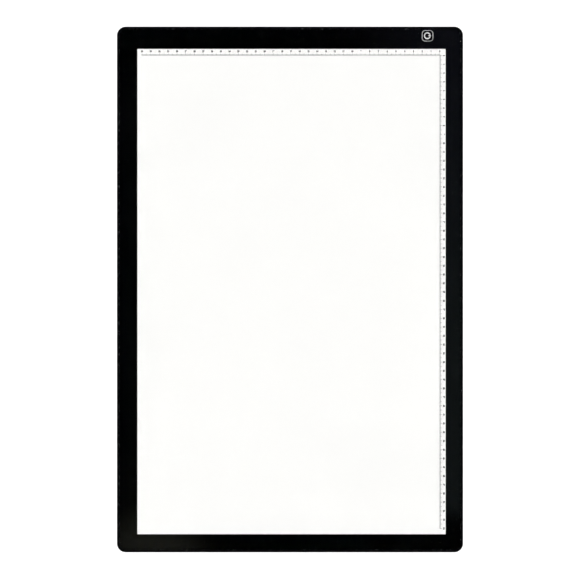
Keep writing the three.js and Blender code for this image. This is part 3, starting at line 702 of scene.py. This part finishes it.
def screwSurface(look, spot, base, pointing, around=48):
    # Depth for radius r and angle a: dome * (r / head) ** 2 + recess * slot share on the face, then a
    # rounded edge and a cone to a thread of radius core + (neck - core) * ridge(z / pitch - a / 2 pi).
    angle = (np.arange(around) * 2 * np.pi / around)[:, None]
    faceRadius = np.linspace(0, look["head"] - look["edge"], 15)[None]
    u, v = np.abs(faceRadius * np.cos(angle)), np.abs(faceRadius * np.sin(angle))
    wide, narrow = np.maximum(u, v), np.minimum(u, v)
    alongSlot = np.clip((look["reach"] - wide) / endSlope, 0, 1)
    acrossSlot = np.clip((look["slot"] / 2 - narrow) / sideSlope + 1, 0, 1)
    dome = look["dome"] * (faceRadius / look["head"]) ** 2
    faceHeight = dome + look["recess"] * (alongSlot * acrossSlot)
    turn = np.linspace(0, np.pi / 2, 4)[None, 1:]
    edgeRadius = look["head"] - look["edge"] * (1 - np.sin(turn)) + 0 * angle
    edgeHeight = look["dome"] + look["edge"] * (1 - np.cos(turn)) + 0 * angle
    along = np.linspace(look["headDepth"], look["length"], 60)[None]
    ridge = np.abs(((along / look["pitch"] - angle / (2 * np.pi)) % 1) * 2 - 1) ** 3
    taper = np.clip((look["length"] - along) / look["point"], 0, 1)
    thread = (look["core"] + (look["neck"] - look["core"]) * ridge) * taper
    radius = np.concatenate([faceRadius + 0 * angle, edgeRadius, thread], 1)
    height = np.concatenate([faceHeight, edgeHeight, along + 0 * angle], 1)
    points = [spot[0] + radius * np.cos(angle), spot[1] + radius * np.sin(angle), base + pointing * height]
    return gridSurface(np.dstack(points), (True, False))


for kind, screws, end, pointing, finish, slot in (("back", backScrews, 0, 1, blackOxide, "black_steel"),
                                                  ("board", boardScrews, 1, -1, nickelSteel, "plated_steel")):
    for node in screws:
        surface = screwSurface(screwLook[kind], middleOf(node), boxOf(node)[end][2], pointing)
        buildPiece(node + ".visual", [surface], [finish], [node], sharpAngle=50)

# Feet: soft turned pads with a shallow dimple that grips the desk.
footLook = {"dimpleRadius": 5.2, "dimpleDepth": 0.15, "dimpleSlope": 0.4, "dimpleRounds": (0.2, 0.15),
            "lowRound": 0.45, "highRound": 0.12}
for node in feet:
    low, high = boxOf(node)
    radius, dimple, depth = (high[0] - low[0]) / 2, footLook["dimpleRadius"], footLook["dimpleDepth"]
    innerRound, rimRound = footLook["dimpleRounds"]
    footProfile = roundCorners([
        (0, depth, 0), (dimple, depth, innerRound), (dimple + footLook["dimpleSlope"], 0, rimRound),
        (radius, 0, footLook["lowRound"]), (radius, high[2], footLook["highRound"]), (0, high[2], 0),
    ], closed=False)
    foot = lathe(footProfile, middleOf(node), around=64)
    buildPiece(node + ".visual", [foot], [silicone], [node])
print("screws and feet built")

# Power socket: a drawn shell with a rolled lip and two soldered wings.
socketLook = {"width": 8.94, "height": 3.2, "wall": 0.3, "middle": 5.1,
              "lipRound": 0.13, "backRound": 0.25, "backInset": 1.2,
              "wingOut": 1.4, "wingFrom": 1.0, "wingLength": 1.4, "wingThick": 0.4,
              "wingRounds": (0.15, 0.06)}
low, high = boxOf("usb_socket")
wallThick, lip, backInset = (socketLook[key] for key in ("wall", "lipRound", "backInset"))
shellProfile = roundCorners([
    (backInset, low[1], 0), (0, low[1], socketLook["backRound"]),
    (0, high[1], lip), (wallThick, high[1], lip),
    (wallThick, low[1] + wallThick, 0.1), (backInset, low[1] + wallThick, 0),
], closed=False, support=0.01)
shellOutline = roundedOutline(socketLook["width"], socketLook["height"], socketLook["height"] / 2 - sliver)
shell = turnUp(sweep(shellOutline, shellProfile, closed=False), (socketPlace[0], 0, socketLook["middle"]))
flank, wingLow = socketLook["width"] / 2 - sunk, low[1] + socketLook["wingFrom"]
wingReach = socketLook["width"] / 2 + socketLook["wingOut"]
wingHigh = wingLow + socketLook["wingLength"]
partLow = boxOf("touch_chip")[0][2]  # height on which the board's parts stand
partHigh = partLow + socketLook["wingThick"]
wings = [block((socketPlace[0] + side * flank, wingLow, partLow),
               (socketPlace[0] + side * wingReach, wingHigh, partHigh), *socketLook["wingRounds"])
         for side in (-1, 1)]
buildPiece("socketShell", [shell] + wings, [nickelSteel], ["usb_socket"])
print("socket built")

# Touch spring: a coil that climbs evenly while its radius grows.
springLook = {"middle": (157.7, 289.5), "turns": 3, "wire": 0.25, "radii": (3.0, 4.6), "steps": 160}
low, high = boxOf("touch_spring")
share = np.linspace(0, 1, springLook["steps"])
coil = 2 * np.pi * springLook["turns"] * share
coilRadius = springLook["radii"][0] + (springLook["radii"][1] - springLook["radii"][0]) * share
wireLow, wireHigh = low[2] + springLook["wire"], high[2] - springLook["wire"]
springX, springY = springLook["middle"]
springPath = np.stack([springX + coilRadius * np.cos(coil), springY + coilRadius * np.sin(coil),
                       wireLow + (wireHigh - wireLow) * share], 1)
springTube = tube(springPath, springLook["wire"], 12)
buildPiece("touchSpring", [springTube], [springWire], ["touch_spring"])

# Leads: two touching cores that run along the top channel, bend and reach down to a strip of lamps.
leadLook = {
    "channel": 286.0, "bend": 5.0, "core": 0.6, "strand": 0.25, "bare": 1.2,
    "sideToMiddle": 1.3,  # from the lead's outermost side to the line between its cores
    "strandSunk": 0.3, "bendStart": 0.2, "bendSteps": 14,
}
channel, bend, core, bare = (leadLook[key] for key in ("channel", "bend", "core", "bare"))
strandSunk = leadLook["strandSunk"]
turnAngle = np.linspace(0, np.pi / 2, leadLook["bendSteps"])
for side, name in ((-1, "left"), (1, "right")):
    low, high = boxOf(f"led_lead_{name}")
    boardEnd, outermost = (high[0], low[0]) if side < 0 else (low[0], high[0])
    runX = outermost - side * leadLook["sideToMiddle"]
    surfaces = []
    for offset, paint in ((-core, 0), (core, 1)):
        arcRadius = bend + offset
        arc = np.stack([runX - side * bend + side * arcRadius * np.sin(turnAngle),
                        channel - bend + arcRadius * np.cos(turnAngle)], 1)
        straight = [boardEnd, boardEnd + side * bare, arc[0, 0] - side * leadLook["bendStart"]]
        flat = np.concatenate([[[x, channel + offset] for x in straight], arc,
                               [[arc[-1, 0], low[1] + bare], [arc[-1, 0], low[1]]]])
        centre = np.insert(flat, 2, low[2] + core, 1)
        surfaces.append(tube(centre[1:-1], core, 14, paint))
        for ends in (centre[:2] + [[0, 0, 0], [side * strandSunk, 0, 0]],
                     centre[-2:] + [[0, strandSunk, 0], [0, 0, 0]]):
            surfaces.append(tube(ends, leadLook["strand"], 8, 2))
    buildPiece(f"ledLead.{name}", surfaces, [redPvc, blackPvc, tinnedCopper],
               [f"led_lead_{name}"])
print("spring and leads built")

# The socket's tongue: a thick root and a thin blade with twelve contacts above and below.
tongueLook = {"rootLength": 1.8, "bladeWidth": 6.6, "bladeThick": 0.7, "contacts": 12, "contactPitch": 0.5,
              "contactWidth": 0.26, "contactLength": 3.4, "contactProud": 0.03, "contactSunk": 0.05}
low, high = boxOf("usb_tongue")
middle = (low + high) / 2
rootEnd = low[1] + tongueLook["rootLength"]
bladeHalf, thickHalf = tongueLook["bladeWidth"] / 2, tongueLook["bladeThick"] / 2
root = block(low, (high[0], rootEnd, high[2]), 0.2, 0.1)
blade = block((middle[0] - bladeHalf, rootEnd - sunk, middle[2] - thickHalf),
              (middle[0] + bladeHalf, high[1], middle[2] + thickHalf), 0.4, 0.12)
offsets = (np.arange(tongueLook["contacts"]) - (tongueLook["contacts"] - 1) / 2) * tongueLook["contactPitch"]
contactHalf, contactEnd = tongueLook["contactWidth"] / 2, rootEnd + tongueLook["contactLength"]
contacts = []
for side in (-1, 1):
    lift = middle[2] + side * (thickHalf - tongueLook["contactSunk"])
    raised = middle[2] + side * (thickHalf + tongueLook["contactProud"])
    contacts += [block((x - contactHalf, rootEnd - 0.1, lift), (x + contactHalf, contactEnd, raised),
                       0.06, 0.015, paint=1, steps=1) for x in middle[0] + offsets]
buildPiece("socketTongue", [root, blade] + contacts, [mouldedEpoxy, goldFlash],
           ["usb_tongue"])
print("socket tongue built")


def dress(start, material):
    # gives every CAD node whose name starts like this a finish of its own
    for name, node in nodes.items():
        if name.startswith(start):
            node.data.materials.clear()
            node.data.materials.append(material)


# Small parts whose body has bare tinned metal on both sides along an axis.
# Moulded epoxy chips: dull near-black with flow grain, and tinned legs.
chipLook = {"ior": 1.55, "codes": ("141416", "1f1f22"), "codeSize": 0.5, "roughness": (0.45, 0.65),
            "metal": "c3c3c0", "soft": 0.02, "bump": (0.2, 0.01)}
# Fired ceramic: tan on the capacitors and glazed black on the resistor, with tinned end caps.
ceramicLook = {"ior": 1.6, "codes": ("9c7f5d", "ab8e6b"), "codeSize": 0.4, "roughness": (0.35, 0.5),
               "metal": "c6c6c3", "soft": 0.05, "bump": None}
glazeLook = {**ceramicLook, "codes": ("121214", "1c1c1f")}
for name, node, axis, bodyHalf, look in (
    ("touchChipEpoxy", "touch_chip", 0, 1.95, chipLook),
    ("driverChipEpoxy", "driver_chip", 0, 0.8, chipLook),
    ("inputCeramic", "input_capacitor", 0, 1.2, ceramicLook),
    ("outputCeramic", "output_capacitor", 0, 1.2, ceramicLook),
    ("resistorGlaze", "sense_resistor", 1, 1.15, glazeLook),
):
    material, tree, shader, place = newMaterial(name, {"IOR": look["ior"]})
    spot = addNode(tree, "SeparateXYZ", {0: place}).outputs
    middle = middleOf(node)[axis]
    covered = inside(tree, spot[axis], middle - bodyHalf, middle + bodyHalf, look["soft"])
    metal = addNode(tree, "Math", (1.0, covered), operation="SUBTRACT").outputs[0]
    ends = (metal, linear(look["metal"]))
    wire(tree, shader, {
        "Base Color": mottled(tree, place, look["codeSize"], look["codes"], over=ends),
        "Metallic": metal,
        "Roughness": grain(tree, place, 0.4, *look["roughness"]),
    })
    if look["bump"]:
        size, depth = look["bump"]
        relief = {"Height": grain(tree, place, size, 0, 1), "Distance": depth * mm}
        wire(tree, shader, {"Normal": addNode(tree, "Bump", relief).outputs[0]})
    dress(node, material)

# Sintered ferrite flanges with enamelled copper wire wound between them, 0.2 mm a turn.
inductorLook = {"flange": 0.5, "wirePitch": 0.2, "soft": 0.02}
low, high = boxOf("power_inductor")
ferrite, tree, shader, place = newMaterial("ferriteAndCopper", {"IOR": 1.6})
spot = addNode(tree, "SeparateXYZ", {0: place}).outputs
winding = inside(tree, spot[2], low[2] + inductorLook["flange"], high[2] - inductorLook["flange"],
                 inductorLook["soft"])
turns = addNode(tree, "TexWave", {"Vector": place, "Scale": waveScale(inductorLook["wirePitch"])},
                bands_direction="Z").outputs["Fac"]
copper = addNode(tree, "Mix", {0: turns, 6: linear("7a3a1c"), 7: linear("b5652f")}, data_type="RGBA")
wire(tree, shader, {
    "Base Color": mottled(tree, place, 0.3, ("2c2c30", "3b3b40"), over=(winding, copper.outputs[2])),
    "Metallic": winding,
    "Roughness": addNode(tree, "MapRange", {"Value": winding, "To Min": 0.7, "To Max": 0.35}).outputs[0],
})
dress("power_inductor", ferrite)

# Fibreglass board under green solder mask: glossy green, with raised lighter copper tracks below it.
# The tracks run along X in some square fields and along Y in the others, 0.7 mm apart.
boardLook = {"field": 7, "trackPitch": 0.7, "trackRise": 0.03}
greenBoard, tree, shader, place = newMaterial("solderMaskedBoard", {"IOR": 1.5})
fields = addNode(tree, "TexVoronoi", {"Vector": place, "Scale": 1 / (boardLook["field"] * mm)},
                 distance="CHEBYCHEV")
alongX, alongY = [addNode(tree, "TexWave", {"Vector": place, "Scale": waveScale(boardLook["trackPitch"])},
                          bands_direction=way).outputs["Fac"] for way in ("Y", "X")]
fieldShade = addNode(tree, "SeparateColor", {0: fields.outputs["Color"]}).outputs[0]
chosen = addNode(tree, "Math", (fieldShade, 0.5), operation="GREATER_THAN").outputs[0]
bands = addNode(tree, "Mix", {0: chosen, 2: alongX, 3: alongY}).outputs[0]
track = addNode(tree, "MapRange", {"Value": bands, "From Min": 0.6, "From Max": 0.7}).outputs[0]
wire(tree, shader, {
    "Base Color": mottled(tree, place, 3, ("0d4024", "114c2b"), over=(track, linear("1c6338"))),
    "Roughness": grain(tree, place, 1, 0.25, 0.38),
    "Normal": addNode(tree, "Bump", {"Height": track, "Distance": boardLook["trackRise"] * mm}).outputs[0],
})
dress("control_board", greenBoard)

# White solder-masked strip; each lamp's front is yellow phosphor in clear silicone.
lampLook = {"pitch": 15, "along": (6.1, 8.9), "heights": (3.9, 5.9), "soft": 0.2,
            "front": (100, 185.15), "frontSoft": 0.1}  # front: distances from the middle
ledBoard, tree, shader, place = newMaterial("ledStripWhite", {"IOR": 1.5})
spot = addNode(tree, "SeparateXYZ", {0: place}).outputs
outwards = addNode(tree, "Math", {0: spot[0]}, operation="ABSOLUTE").outputs[0]
phase = addNode(tree, "Math", (spot[1], 0.0, lampLook["pitch"] * mm), operation="WRAP").outputs[0]
lampShare = inside(tree, phase, *lampLook["along"], lampLook["soft"])
for value, limits, soft in ((spot[2], lampLook["heights"], lampLook["soft"]),
                            (outwards, lampLook["front"], lampLook["frontSoft"])):
    within = inside(tree, value, *limits, soft)
    lampShare = addNode(tree, "Math", (lampShare, within), operation="MULTIPLY").outputs[0]
wire(tree, shader, {
    "Base Color": mottled(tree, place, 2, ("eeece4", "f6f5f0"), over=(lampShare, linear("e6b43a"))),
    "Roughness": grain(tree, place, 0.8, 0.35, 0.5),
})
dress("led_strip", ledBoard)

dress("border_mask", printedFilm)
dress("diffuser_sheet", opalFilm)
dress("light_guide_plate", dottedGuide)
dress("reflector_sheet", reflectorFilm)
dress("led_bar", millAluminium)
dress("cover_tape", foamTape)
dress("guide_buffer", silicone)
print("CAD nodes dressed")
